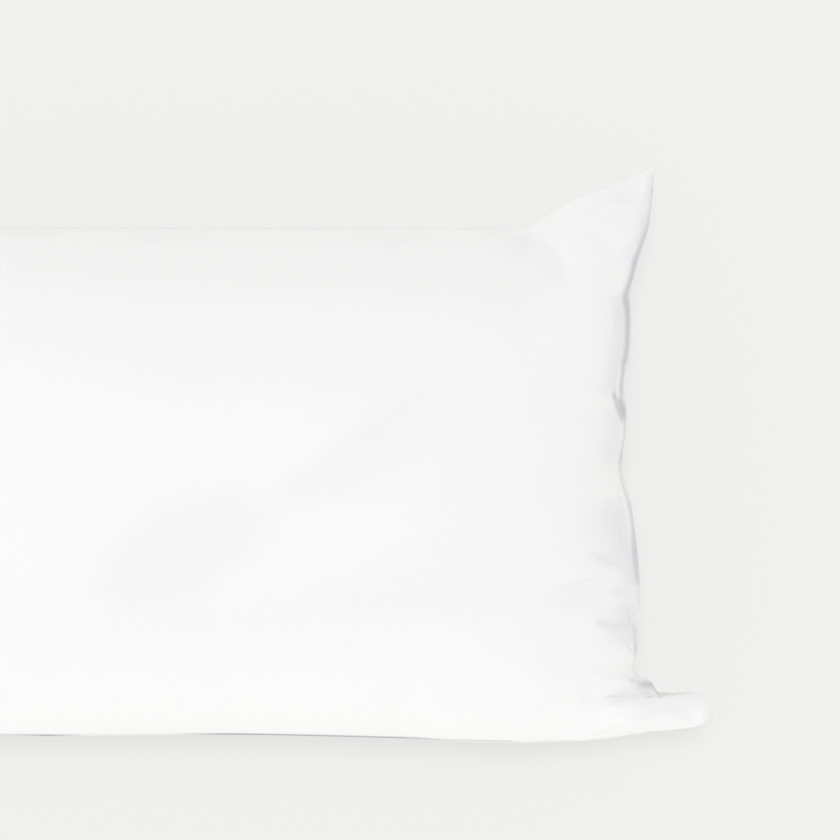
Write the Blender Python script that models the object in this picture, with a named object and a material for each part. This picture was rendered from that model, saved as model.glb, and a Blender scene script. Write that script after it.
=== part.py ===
"""A filled pillowcase that lies on its back.

Two cotton panels are sewn together round the rim and plumped by the pillow inside. The case is one
filled solid: a crown on the front, a back that is pressed flat where it rests, sides that the sewing
draws in, and slack corners that stand out as ears. The case lies face up, with its long side along X.
"""

from typing import NamedTuple

import bpy
import bmesh
import numpy as np

# The filled body between the seams. The flat case measures 0.75 x 0.50 m.
HALF_LENGTH = 0.330
HALF_WIDTH = 0.218
CROWN_RISE = 0.092          # from the seam up to the top of the front
BACK_DROP = 0.104           # from the seam down to the back, before it is pressed flat
SEAM_HEIGHT = 0.076         # from the rest up to the seam of the body
REST_BLEND = 0.010          # height over which the back rounds off into its flat rest
SEAM_HALF_THICKNESS = 0.0016

# How full the sections are: a higher number gives a flatter top and rounder shoulders.
LENGTHWISE_FULLNESS = 2.8
CROSSWISE_FULLNESS = 2.5
EDGE_ROUNDING = 0.56        # 0.5 is an ellipse's edge, a higher number a sharper one

# The lower right corner is rolled into a tongue that stands on edge, round a line in its middle.
TONGUE_ROOT = (0.270, -0.200)
TONGUE_TIP = (0.387, -0.197)
TONGUE_HALF_WIDTH = 0.0165
TONGUE_SHARES = (0.00, 0.20, 0.40, 0.55, 0.75, 1.00)
TONGUE_HALF_HEIGHTS = (0.000, 0.008, 0.024, 0.028, 0.022, 0.012)

CELLS_ALONG = 60
CELLS_ACROSS = 36
EDGE_CROWDING = 0.75        # 0 spaces the cells evenly, 1 crowds them most towards the seams
FOLD_FREE_RIM = 0.20        # folds fade out where a panel stands off the seam by less than this share

CLOTH_COLOUR = (0.93, 0.93, 0.94, 1.0)
CLOTH_ROUGHNESS = 0.85


class SeamRow(NamedTuple):
    """Where one point of a side's seam lies, in metres from the middle of the body."""

    share: float            # place on the side's cloth, from -1 at its first corner to 1 at its last
    x: float
    y: float
    lift: float             # above the seam of the body
    reach: float            # share of the half length or half width over which the seam's pull fades


class Fold(NamedTuple):
    """A soft trough, or a ridge where depth is negative, pressed into one panel along a line."""

    panel: str
    x0: float
    y0: float
    x1: float
    y1: float
    half_width: float
    depth: float


class Gather(NamedTuple):
    """A short trough that runs from an end's seam into both panels."""

    x: float                # at the seam
    y: float
    length: float
    rise: float             # how far it climbs towards the upper side on its way in
    depth: float


# The lower and upper side run from the left end to the right end, and the ends from bottom to top.
LOWER_SIDE = (
    SeamRow(-1.00, -0.340, -0.231, -0.014, 0.60),
    SeamRow(-0.92, -0.305, -0.223, -0.006, 0.70),
    SeamRow(-0.80, -0.256, -0.218, 0.000, 0.70),
    SeamRow(-0.45, -0.150, -0.217, 0.000, 0.70),
    SeamRow(0.00, -0.002, -0.216, 0.000, 0.70),
    SeamRow(0.40, 0.135, -0.219, 0.000, 0.70),
    SeamRow(0.74, 0.252, -0.222, -0.004, 0.60),
    SeamRow(0.88, 0.312, -0.219, -0.010, 0.40),
    SeamRow(0.95, 0.357, -0.213, -0.014, 0.30),
    SeamRow(1.00, 0.389, -0.2105, -0.016, 0.25),
)
UPPER_SIDE = (
    SeamRow(-1.00, -0.354, 0.2580, -0.012, 0.60),
    SeamRow(-0.92, -0.316, 0.2440, -0.006, 0.60),
    SeamRow(-0.83, -0.277, 0.2270, 0.000, 0.70),
    SeamRow(-0.75, -0.246, 0.2185, 0.000, 0.70),
    SeamRow(-0.68, -0.223, 0.2175, 0.000, 0.70),
    SeamRow(-0.60, -0.197, 0.2175, 0.000, 0.70),
    SeamRow(0.00, 0.000, 0.2175, 0.000, 0.70),
    SeamRow(0.60, 0.198, 0.2175, 0.000, 0.70),
    SeamRow(0.70, 0.231, 0.2175, 0.000, 0.70),
    SeamRow(0.76, 0.252, 0.2210, 0.000, 0.65),
    SeamRow(0.82, 0.279, 0.2360, 0.001, 0.60),
    SeamRow(0.90, 0.312, 0.2530, 0.002, 0.60),
    SeamRow(1.00, 0.353, 0.2685, 0.000, 0.60),
)
LEFT_END = (
    SeamRow(-1.00, -0.340, -0.231, -0.014, 0.45),
    SeamRow(-0.80, -0.337, -0.180, -0.004, 0.50),
    SeamRow(-0.40, -0.329, -0.088, 0.000, 0.50),
    SeamRow(0.10, -0.326, 0.022, 0.002, 0.50),
    SeamRow(0.55, -0.331, 0.125, 0.000, 0.50),
    SeamRow(0.82, -0.343, 0.200, -0.004, 0.50),
    SeamRow(1.00, -0.354, 0.258, -0.012, 0.45),
)
RIGHT_END = (
    SeamRow(-1.00, 0.3890, -0.2105, -0.016, 0.22),
    SeamRow(-0.97, 0.3990, -0.2040, -0.016, 0.22),
    SeamRow(-0.94, 0.4010, -0.1930, -0.016, 0.22),
    SeamRow(-0.90, 0.3930, -0.1835, -0.015, 0.22),
    SeamRow(-0.84, 0.3730, -0.1825, -0.013, 0.20),
    SeamRow(-0.78, 0.3530, -0.1805, -0.010, 0.18),
    SeamRow(-0.71, 0.340, -0.170, -0.006, 0.20),
    SeamRow(-0.56, 0.339, -0.136, -0.002, 0.30),
    SeamRow(-0.36, 0.340, -0.088, 0.000, 0.40),
    SeamRow(-0.12, 0.333, -0.022, 0.001, 0.45),
    SeamRow(0.04, 0.325, 0.012, 0.001, 0.45),
    SeamRow(0.22, 0.3285, 0.050, 0.000, 0.45),
    SeamRow(0.38, 0.3270, 0.084, 0.000, 0.45),
    SeamRow(0.54, 0.3320, 0.126, 0.000, 0.45),
    SeamRow(0.70, 0.3320, 0.168, 0.000, 0.45),
    SeamRow(0.79, 0.3405, 0.196, -0.001, 0.45),
    SeamRow(0.89, 0.3490, 0.230, -0.002, 0.45),
    SeamRow(1.00, 0.353, 0.2685, 0.000, 0.45),
)

FOLDS = (
    # The long dip across the front, and the shallow hollow that it runs out into.
    Fold("front", 0.190, 0.090, 0.050, -0.015, 0.022, 0.0045),
    Fold("front", 0.030, -0.035, -0.140, -0.090, 0.060, 0.0050),
    # The shoulder along the upper side, which bends down into the upper right ear.
    Fold("front", -0.270, 0.150, 0.210, 0.146, 0.016, -0.0025),
    Fold("front", 0.230, 0.150, 0.300, 0.175, 0.014, -0.0025),
    # The root of the upper right ear.
    Fold("front", 0.255, 0.192, 0.270, 0.160, 0.014, 0.0060),
    # The lower right corner.
    Fold("front", 0.252, -0.101, 0.315, -0.081, 0.012, 0.0035),
    Fold("front", 0.297, -0.060, 0.334, -0.074, 0.010, 0.0035),
    Fold("front", 0.298, -0.122, 0.340, -0.124, 0.009, 0.0050),
    Fold("front", 0.288, -0.180, 0.318, -0.183, 0.013, 0.0045),
    Fold("front", 0.316, -0.173, 0.338, -0.181, 0.010, 0.0070),
)

GATHERS = (
    Gather(-0.337, -0.175, 0.070, 0.010, 0.0040),
    Gather(-0.331, -0.105, 0.050, 0.004, 0.0035),
    Gather(-0.327, -0.030, 0.085, -0.006, 0.0045),
    Gather(-0.327, 0.048, 0.045, 0.004, 0.0030),
    Gather(-0.331, 0.112, 0.075, -0.012, 0.0040),
    Gather(-0.341, 0.186, 0.060, -0.020, 0.0035),
    Gather(0.330, 0.150, 0.050, -0.010, 0.0025),
    Gather(0.327, 0.078, 0.040, -0.004, 0.0030),
    Gather(0.325, 0.014, 0.060, -0.008, 0.0030),
)
GATHER_HALF_WIDTH = 0.011


def through_rows(rows, shares):
    """Returns the seam's x, y, lift and reach at the shares, on a smooth curve through the rows."""
    table = np.array(rows)
    stations, values = table[:, 0], table[:, 1:]
    slopes = np.gradient(values, stations, axis=0)
    before = np.clip(np.searchsorted(stations, shares) - 1, 0, len(rows) - 2)
    span = (stations[before + 1] - stations[before])[:, None]
    t = (shares - stations[before])[:, None] / span
    return (
        values[before] * (1 + 2 * t) * (1 - t) ** 2
        + slopes[before] * span * t * (1 - t) ** 2
        + values[before + 1] * t**2 * (3 - 2 * t)
        + slopes[before + 1] * span * t**2 * (t - 1)
    )


def eased(share):
    """Returns the share between 0 and 1 with a soft start and end."""
    share = np.clip(share, 0, 1)
    return (share * share * (3 - 2 * share))[:, None]


def plain_body(along, across):
    """Returns the place of a panel point on the plain rectangle that the seams are drawn from."""
    return np.column_stack((along * HALF_LENGTH, across * HALF_WIDTH, np.zeros_like(along)))


def seam_pull(along, across):
    """Returns how far the four seams pull a panel point away from the plain body."""
    pull = np.zeros((len(along), 3))
    end_shares, side_shares = [], []
    for rows, end in ((LEFT_END, -1), (RIGHT_END, 1)):
        seam = through_rows(rows, across)
        end_shares.append(eased(1 - (1 - along * end) / seam[:, 3]))
        pull += end_shares[-1] * (seam[:, :3] - plain_body(np.full_like(along, end), across))
    for rows, side in ((LOWER_SIDE, -1), (UPPER_SIDE, 1)):
        seam = through_rows(rows, along)
        side_shares.append(eased(1 - (1 - across * side) / seam[:, 3]))
        pull += side_shares[-1] * (seam[:, :3] - plain_body(along, np.full_like(across, side)))
    # A corner belongs to two seams, so its pull is counted once only.
    for rows, side, side_share in ((LOWER_SIDE, -1, side_shares[0]), (UPPER_SIDE, 1, side_shares[1])):
        for row, end, end_share in ((rows[0], -1, end_shares[0]), (rows[-1], 1, end_shares[1])):
            corner_pull = (row.x - end * HALF_LENGTH, row.y - side * HALF_WIDTH, row.lift)
            pull -= side_share * end_share * np.array(corner_pull)
    return pull


def fullness(along, across):
    """Returns how far a panel stands off the seam, from 0 at the rim to 1 in the middle."""
    lengthwise = 1 - np.abs(along) ** LENGTHWISE_FULLNESS
    crosswise = 1 - np.abs(across) ** CROSSWISE_FULLNESS
    return (np.clip(lengthwise, 0, 1) * np.clip(crosswise, 0, 1)) ** EDGE_ROUNDING


def beside_line(points, start, end):
    """Returns how far the points lie in plan from the line, and the share of it where they are nearest."""
    start, end = np.array(start), np.array(end)
    run = end - start
    share = np.clip((points[:, :2] - start) @ run / (run @ run), 0, 1)
    return np.linalg.norm(points[:, :2] - start - share[:, None] * run, axis=1), share


def tongue_half_height(points):
    """Returns half the height that the rolled corner has on its own."""
    distance, share = beside_line(points, TONGUE_ROOT, TONGUE_TIP)
    tallest = np.interp(share, TONGUE_SHARES, TONGUE_HALF_HEIGHTS)
    return tallest * np.sqrt(np.clip(1 - (distance / TONGUE_HALF_WIDTH) ** 2, 0, 1))


def crowded(share):
    """Returns the share moved towards the rim, where the cloth turns most."""
    return (1 - EDGE_CROWDING) * share + EDGE_CROWDING * np.sin(share * np.pi / 2)


def filled_points(flat):
    """Returns the filled case's points for the flat case's, and how full the panel is at each."""
    along, across = crowded(flat[:, 0]), crowded(flat[:, 1])
    points = plain_body(along, across) + seam_pull(along, across)
    swell = fullness(along, across)
    tongue = tongue_half_height(points)
    rise = SEAM_HALF_THICKNESS + np.hypot(CROWN_RISE * swell, tongue)
    drop = SEAM_HALF_THICKNESS + np.hypot(BACK_DROP * swell, tongue)
    points[:, 2] += SEAM_HEIGHT + np.where(is_front(flat), rise, -drop)
    return points, swell


def is_front(flat):
    """Returns which points of the flat case belong to its front panel."""
    return flat[:, 2] > 0.5


def press_folds(points, normals, front, swell):
    """Presses each fold into its panel, along the cloth's own normals."""
    hold = np.clip(swell / FOLD_FREE_RIM, 0, 1)
    press = np.zeros(len(points))
    for fold in FOLDS:
        distance, _ = beside_line(points, (fold.x0, fold.y0), (fold.x1, fold.y1))
        on_panel = front if fold.panel == "front" else ~front
        press += on_panel * fold.depth * np.exp(-((distance / fold.half_width) ** 2))
    for gather in GATHERS:
        inner_end = (gather.x - np.sign(gather.x) * gather.length, gather.y + gather.rise)
        distance, _ = beside_line(points, (gather.x, gather.y), inner_end)
        press += gather.depth * np.exp(-((distance / GATHER_HALF_WIDTH) ** 2))
    points -= normals * (press * hold)[:, None]


def press_flat(points):
    """Rounds the lowest part of the back off into a flat rest at height 0."""
    height = points[:, 2]
    rounded = (height + REST_BLEND) ** 2 / (4 * REST_BLEND)
    near = np.abs(height) < REST_BLEND
    points[:, 2] = np.where(near, rounded, np.maximum(height, 0))


def centre_over_origin(points):
    """Moves the case so that the middle of its box stands over the origin."""
    lowest, highest = points.min(axis=0), points.max(axis=0)
    points[:, :2] -= (lowest + highest)[:2] / 2


def flat_case():
    """Returns the flat case's mesh: x and y run from -1 to 1, and z is 0 on the back and 1 on the front."""
    shell = bmesh.new()
    bmesh.ops.create_grid(shell, x_segments=CELLS_ALONG, y_segments=CELLS_ACROSS, size=1)
    front = bmesh.ops.extrude_face_region(shell, geom=shell.faces[:])["geom"]
    front_points = [part for part in front if isinstance(part, bmesh.types.BMVert)]
    bmesh.ops.translate(shell, vec=(0, 0, 1), verts=front_points)
    bmesh.ops.recalc_face_normals(shell, faces=shell.faces[:])
    mesh = bpy.data.meshes.new("pillowcase")
    shell.to_mesh(mesh)
    shell.free()
    return mesh


def write_points(mesh, points):
    """Puts the points back into the mesh."""
    mesh.vertices.foreach_set("co", points.ravel())
    mesh.update()


def cotton():
    """Returns the plain white cotton of the case."""
    material = bpy.data.materials.new("cotton")
    material.use_nodes = True
    shader = material.node_tree.nodes["Principled BSDF"]
    shader.inputs["Base Color"].default_value = CLOTH_COLOUR
    shader.inputs["Roughness"].default_value = CLOTH_ROUGHNESS
    shader.inputs["Metallic"].default_value = 0.0
    return material


def build_pillowcase(collection):
    """Makes the filled case and puts it in the collection."""
    mesh = flat_case()
    flat = np.array([point.co for point in mesh.vertices])
    points, swell = filled_points(flat)
    write_points(mesh, points)
    normals = np.array([point.normal for point in mesh.vertices])
    press_folds(points, normals, is_front(flat), swell)
    press_flat(points)
    centre_over_origin(points)
    write_points(mesh, points)
    mesh.shade_smooth()
    mesh.materials.append(cotton())
    collection.objects.link(bpy.data.objects.new("pillowcase", mesh))


def clear_scene():
    """Removes every object of the open scene."""
    for old in list(bpy.data.objects):
        bpy.data.objects.remove(old, do_unlink=True)


clear_scene()
case_collection = bpy.data.collections.new("pillowcase")
bpy.context.scene.collection.children.link(case_collection)
build_pillowcase(case_collection)
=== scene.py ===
"""The looks of a filled cotton pillowcase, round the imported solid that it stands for.

The case is two panels of plain woven cotton, sewn together round the rim and plumped by the pillow
inside. It lies on its back. Its shape starts from the same named sizes as the solid, on a grid fine
enough for the sewn edge, the gathers along the seams and the folds of its slack corners.
"""

from __future__ import annotations

import logging
from dataclasses import dataclass
from enum import Enum
from typing import NamedTuple

import bmesh
import bpy
import numpy as np
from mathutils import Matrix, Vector

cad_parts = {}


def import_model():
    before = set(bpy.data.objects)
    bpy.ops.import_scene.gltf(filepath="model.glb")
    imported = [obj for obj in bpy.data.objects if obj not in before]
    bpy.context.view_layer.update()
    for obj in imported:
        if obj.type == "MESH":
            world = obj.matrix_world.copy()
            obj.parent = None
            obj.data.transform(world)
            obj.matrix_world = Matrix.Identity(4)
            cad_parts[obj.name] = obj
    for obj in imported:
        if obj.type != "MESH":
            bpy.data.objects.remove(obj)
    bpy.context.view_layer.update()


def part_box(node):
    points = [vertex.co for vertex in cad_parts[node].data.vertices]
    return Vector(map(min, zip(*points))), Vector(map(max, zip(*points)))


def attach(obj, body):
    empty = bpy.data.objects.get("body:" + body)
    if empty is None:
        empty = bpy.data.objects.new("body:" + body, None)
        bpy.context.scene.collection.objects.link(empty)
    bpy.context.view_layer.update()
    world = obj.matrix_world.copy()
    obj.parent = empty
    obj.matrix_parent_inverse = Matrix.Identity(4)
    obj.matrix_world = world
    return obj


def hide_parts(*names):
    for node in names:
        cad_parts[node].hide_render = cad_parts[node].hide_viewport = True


log = logging.getLogger("pillowcase")

NODE = "pillowcase"
BODY = "root"
TINY = 1e-9  # keeps a division or a root off zero


class Panel(Enum):
    """The two pieces of cloth that the case is sewn from."""

    FRONT = 1
    BACK = -1


class SeamRow(NamedTuple):
    """Where one point of a side's seam lies, in metres from the middle of the body."""

    share: float  # place on the side's cloth, from -1 at its first corner to 1 at its last
    x: float
    y: float
    lift: float  # above the seam of the body
    reach: float  # share of the half length or half width over which the seam's pull fades
    lip: float  # width of the pressed edge that stands out past the filled cloth


class Fold(NamedTuple):
    """A soft trough pressed into the front along a line, or a ridge where its depth is negative,
    with painted shade along it where it has one.
    """

    path: tuple[tuple[float, float], ...]
    left_width: float  # how far the trough spreads to the left of the way the line runs
    right_width: float
    depth: float
    fade: float  # share of the line over which the trough dies out at each end
    shade: float = 0.0  # how much painted shade the fold takes, from 0 to 1


# The columns of a seam once it is read along a side: its place, then its reach and its lip.
PLACE, REACH, LIP = slice(0, 3), 3, 4

LOWER_SIDE = (
    SeamRow(-1.00, -0.340, -0.231, -0.014, 0.60, 0.0010),
    SeamRow(-0.92, -0.305, -0.223, -0.006, 0.70, 0.0015),
    SeamRow(-0.80, -0.256, -0.218, 0.000, 0.70, 0.0015),
    SeamRow(-0.45, -0.150, -0.217, 0.000, 0.70, 0.0015),
    SeamRow(0.00, -0.002, -0.216, 0.000, 0.70, 0.0015),
    SeamRow(0.40, 0.135, -0.219, 0.000, 0.70, 0.0015),
    SeamRow(0.74, 0.252, -0.2230, -0.004, 0.60, 0.0015),
    SeamRow(0.88, 0.312, -0.2203, -0.010, 0.40, 0.0010),
    SeamRow(0.95, 0.357, -0.2142, -0.014, 0.30, 0.0010),
    SeamRow(1.00, 0.389, -0.2105, -0.016, 0.25, 0.0010),
)
UPPER_SIDE = (
    SeamRow(-1.00, -0.354, 0.2580, -0.012, 0.60, 0.0010),
    SeamRow(-0.92, -0.316, 0.2440, -0.006, 0.60, 0.0010),
    SeamRow(-0.83, -0.277, 0.2270, 0.000, 0.70, 0.0010),
    SeamRow(-0.75, -0.246, 0.2185, 0.000, 0.70, 0.0010),
    SeamRow(-0.68, -0.223, 0.2175, 0.000, 0.70, 0.0010),
    SeamRow(-0.60, -0.197, 0.2175, 0.000, 0.70, 0.0010),
    SeamRow(0.00, 0.000, 0.2175, 0.000, 0.70, 0.0010),
    SeamRow(0.60, 0.198, 0.2175, 0.000, 0.70, 0.0010),
    SeamRow(0.70, 0.231, 0.2175, 0.000, 0.70, 0.0010),
    SeamRow(0.735, 0.242, 0.2185, 0.000, 0.68, 0.0010),
    SeamRow(0.77, 0.256, 0.2266, 0.000, 0.65, 0.0010),
    SeamRow(0.82, 0.279, 0.2402, 0.001, 0.60, 0.0010),
    SeamRow(0.90, 0.312, 0.2548, 0.002, 0.60, 0.0010),
    SeamRow(1.00, 0.353, 0.2685, 0.000, 0.60, 0.0010),
)
LEFT_END = (
    SeamRow(-1.00, -0.340, -0.231, -0.014, 0.45, 0.0010),
    SeamRow(-0.80, -0.337, -0.180, -0.004, 0.50, 0.0020),
    SeamRow(-0.40, -0.329, -0.088, 0.000, 0.50, 0.0020),
    SeamRow(0.10, -0.326, 0.022, 0.002, 0.50, 0.0020),
    SeamRow(0.55, -0.331, 0.125, 0.000, 0.50, 0.0020),
    SeamRow(0.82, -0.343, 0.200, -0.004, 0.50, 0.0020),
    SeamRow(1.00, -0.354, 0.258, -0.012, 0.45, 0.0010),
)
RIGHT_END = (
    SeamRow(-1.00, 0.3890, -0.2105, -0.016, 0.22, 0.0006),
    SeamRow(-0.97, 0.3990, -0.2040, -0.016, 0.22, 0.0006),
    SeamRow(-0.94, 0.4010, -0.1930, -0.016, 0.22, 0.0006),
    SeamRow(-0.90, 0.3930, -0.1835, -0.015, 0.22, 0.0006),
    SeamRow(-0.84, 0.3730, -0.1820, -0.013, 0.20, 0.0006),
    SeamRow(-0.80, 0.3600, -0.1836, -0.012, 0.19, 0.0006),
    SeamRow(-0.77, 0.3545, -0.1785, -0.010, 0.18, 0.0006),
    SeamRow(-0.745, 0.3500, -0.1702, -0.008, 0.18, 0.0006),
    SeamRow(-0.715, 0.3400, -0.1668, -0.006, 0.19, 0.0006),
    SeamRow(-0.69, 0.3355, -0.1610, -0.005, 0.20, 0.0006),
    SeamRow(-0.64, 0.3370, -0.1510, -0.004, 0.25, 0.0006),
    SeamRow(-0.56, 0.3390, -0.1360, -0.002, 0.30, 0.0006),
    SeamRow(-0.36, 0.3400, -0.0880, 0.000, 0.40, 0.0006),
    SeamRow(-0.12, 0.3330, -0.0220, 0.001, 0.45, 0.0006),
    SeamRow(0.04, 0.3250, 0.0120, 0.001, 0.45, 0.0006),
    SeamRow(0.22, 0.3285, 0.0500, 0.000, 0.45, 0.0006),
    SeamRow(0.38, 0.3282, 0.0840, 0.000, 0.45, 0.0006),
    SeamRow(0.54, 0.3332, 0.1260, 0.000, 0.45, 0.0006),
    SeamRow(0.70, 0.3330, 0.1680, 0.000, 0.45, 0.0006),
    SeamRow(0.79, 0.3405, 0.1960, -0.001, 0.45, 0.0006),
    SeamRow(0.845, 0.3470, 0.2146, -0.002, 0.45, 0.0006),
    SeamRow(0.89, 0.3494, 0.2300, -0.002, 0.45, 0.0006),
    SeamRow(1.00, 0.3530, 0.2685, 0.000, 0.45, 0.0006),
)


def linear_colour(hex_value: str) -> tuple[float, float, float, float]:
    """Turn an sRGB hex value into the linear colour that the shaders take.

    Args:
        hex_value: six hex digits, red first.

    Returns:
        Linear red, green and blue, and a full alpha.
    """
    shares = [int(hex_value[i : i + 2], 16) / 255 for i in (0, 2, 4)]
    linear = [s / 12.92 if s <= 0.04045 else ((s + 0.055) / 1.055) ** 2.4 for s in shares]
    return (linear[0], linear[1], linear[2], 1.0)


def add_node(
    tree: bpy.types.NodeTree,
    kind: str,
    settings: dict | None = None,
    inputs: dict | None = None,
    links: dict | None = None,
) -> bpy.types.Node:
    """Add one node with its settings, its constants and the links into it.

    Args:
        tree: the node tree that takes it.
        kind: the node's type, such as ShaderNodeBump.
        settings: the node's own properties.
        inputs: constants by input name or number.
        links: output sockets by input name or number.

    Returns:
        The new node.
    """
    node = tree.nodes.new(kind)
    for name, value in (settings or {}).items():
        setattr(node, name, value)
    for key, value in (inputs or {}).items():
        node.inputs[key].default_value = value
    for key, socket in (links or {}).items():
        tree.links.new(socket, node.inputs[key])
    return node


@dataclass(frozen=True)
class CottonPercale:
    """White cotton percale, plain woven and washed.

    A plain weave of even threads scatters light the same way from every side, so the cloth is matt
    and softly bright, with a faint grid of threads and slubs and a fine fuzz that lifts its edges.
    """

    name: str = "cotton_percale"
    thread_hex: str = "E8E8E8"
    gap_hex: str = "E6E6E6"
    # painted shade: the bluish grey that the folds and the lower seam are greyed towards
    crease_shade_hex: str = "8A8896"
    roughness: float = 0.9
    sheen: float = 0.10
    sheen_roughness: float = 0.5
    # Percale has about 30 threads to the centimetre. A pitch of 0.33 mm is too fine to show, so the
    # weave is drawn five times as coarse.
    thread_pitch: float = 0.00165
    thread_height: float = 0.00003  # of a thread above the gap beside it
    slub_length: float = 0.018  # between the thick places of the yarn
    slub_detail: float = 3.0
    slub_roughness: float = 0.55
    slub_strength: float = 0.25
    bump_strength: float = 0.5

    def material(self) -> bpy.types.Material:
        """Make the cloth's material.

        Returns:
            The material, which reads the cloth's own plan from the UV map "cloth".
        """
        made = bpy.data.materials.new(self.name)
        made.use_nodes = True
        tree = made.node_tree
        shader = tree.nodes["Principled BSDF"]
        plan = add_node(tree, "ShaderNodeUVMap", {"uv_map": "cloth"}).outputs["UV"]
        parts = add_node(tree, "ShaderNodeSeparateXYZ", links={0: plan})
        weave = [self._thread(tree, parts.outputs[axis]) for axis in (0, 1)]
        height = add_node(
            tree, "ShaderNodeMath", {"operation": "MULTIPLY"}, links={0: weave[0], 1: weave[1]}
        ).outputs[0]
        slub = add_node(
            tree,
            "ShaderNodeTexNoise",
            {"noise_dimensions": "2D"},
            {
                "Scale": 1 / self.slub_length,
                "Detail": self.slub_detail,
                "Roughness": self.slub_roughness,
            },
            {"Vector": plan},
        ).outputs["Fac"]
        depth = add_node(
            tree,
            "ShaderNodeMix",
            {"data_type": "FLOAT"},
            {"Factor": self.slub_strength},
            {"A": height, "B": slub},
        ).outputs["Result"]
        colour = add_node(
            tree,
            "ShaderNodeMix",
            {"data_type": "RGBA"},
            {"A": linear_colour(self.gap_hex), "B": linear_colour(self.thread_hex)},
            {"Factor": depth},
        ).outputs["Result"]
        # Painted shade: the cloth is greyed towards the crease shade by the attribute crease_shade.
        shade = add_node(
            tree, "ShaderNodeAttribute", {"attribute_name": "crease_shade"}
        ).outputs["Fac"]
        colour = add_node(
            tree,
            "ShaderNodeMix",
            {"data_type": "RGBA"},
            {"B": linear_colour(self.crease_shade_hex)},
            {"Factor": shade, "A": colour},
        ).outputs["Result"]
        bump = add_node(
            tree,
            "ShaderNodeBump",
            inputs={"Strength": self.bump_strength, "Distance": self.thread_height},
            links={"Height": depth},
        )
        tree.links.new(colour, shader.inputs["Base Color"])
        tree.links.new(bump.outputs["Normal"], shader.inputs["Normal"])
        shader.inputs["Roughness"].default_value = self.roughness
        shader.inputs["Sheen Weight"].default_value = self.sheen
        shader.inputs["Sheen Roughness"].default_value = self.sheen_roughness
        return made

    def _thread(
        self, tree: bpy.types.NodeTree, place: bpy.types.NodeSocket
    ) -> bpy.types.NodeSocket:
        """Add the nodes for the threads that lie side by side along one axis.

        Args:
            tree: the material's node tree.
            place: where a point lies along that axis, in metres.

        Returns:
            How high a thread stands there, from 0 to 1.
        """
        turns = add_node(
            tree,
            "ShaderNodeMath",
            {"operation": "MULTIPLY"},
            {1: 2 * np.pi / self.thread_pitch},
            {0: place},
        ).outputs[0]
        wave = add_node(tree, "ShaderNodeMath", {"operation": "SINE"}, links={0: turns}).outputs[0]
        return add_node(
            tree, "ShaderNodeMath", {"operation": "MULTIPLY_ADD"}, {1: 0.5, 2: 0.5}, {0: wave}
        ).outputs[0]


@dataclass(frozen=True)
class BackLitSweep:
    """Opal acrylic, cast and lit from below, as a product table has: pale, even, nearly shadowless.

    Its glow is dimmed round the middle, where the case lies, in a painted shadow, so that the
    case's underside falls into shade and the case is seen to rest there.
    """

    name: str = "opal_acrylic"
    glow_hex: str = "D7D7D5"
    # painted shadow: the dim glow round the middle, where the case lies
    contact_shadow_hex: str = "404040"
    surface_hex: str = "4D4D4C"
    glow: float = 1.0
    roughness: float = 1.0
    contact_shadow_half_size: tuple[float, float, float] = (0.252, 0.142, 1.0)  # the last is above any height
    contact_shadow_blur: float = 0.066  # over which the glow comes back past the painted shadow's edge

    def material(self) -> bpy.types.Material:
        """Make the table's material.

        Returns:
            The material, whose glow is dimmed round the table's own middle in a painted shadow.
        """
        made = bpy.data.materials.new(self.name)
        made.use_nodes = True
        tree = made.node_tree
        shader = tree.nodes["Principled BSDF"]
        shader.inputs["Base Color"].default_value = linear_colour(self.surface_hex)
        shader.inputs["Roughness"].default_value = self.roughness
        shader.inputs["Specular IOR Level"].default_value = 0.0
        shader.inputs["Emission Strength"].default_value = self.glow
        past_contact_shadow = add_node(tree, "ShaderNodeTexCoord").outputs["Object"]
        steps = (
            ("ABSOLUTE", {}),
            ("SUBTRACT", {1: self.contact_shadow_half_size}),
            ("MAXIMUM", {1: (0.0, 0.0, 0.0)}),
        )
        for operation, constants in steps:
            past_contact_shadow = add_node(
                tree, "ShaderNodeVectorMath", {"operation": operation}, constants, {0: past_contact_shadow}
            ).outputs[0]
        distance = add_node(
            tree, "ShaderNodeVectorMath", {"operation": "LENGTH"}, links={0: past_contact_shadow}
        ).outputs["Value"]
        lit = add_node(
            tree,
            "ShaderNodeMapRange",
            {"interpolation_type": "SMOOTHSTEP"},
            {"From Min": 0.0, "From Max": self.contact_shadow_blur},
            {"Value": distance},
        ).outputs["Result"]
        colour = add_node(
            tree,
            "ShaderNodeMix",
            {"data_type": "RGBA"},
            {"A": linear_colour(self.contact_shadow_hex), "B": linear_colour(self.glow_hex)},
            {"Factor": lit},
        ).outputs["Result"]
        tree.links.new(colour, shader.inputs["Emission Color"])
        return made


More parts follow.
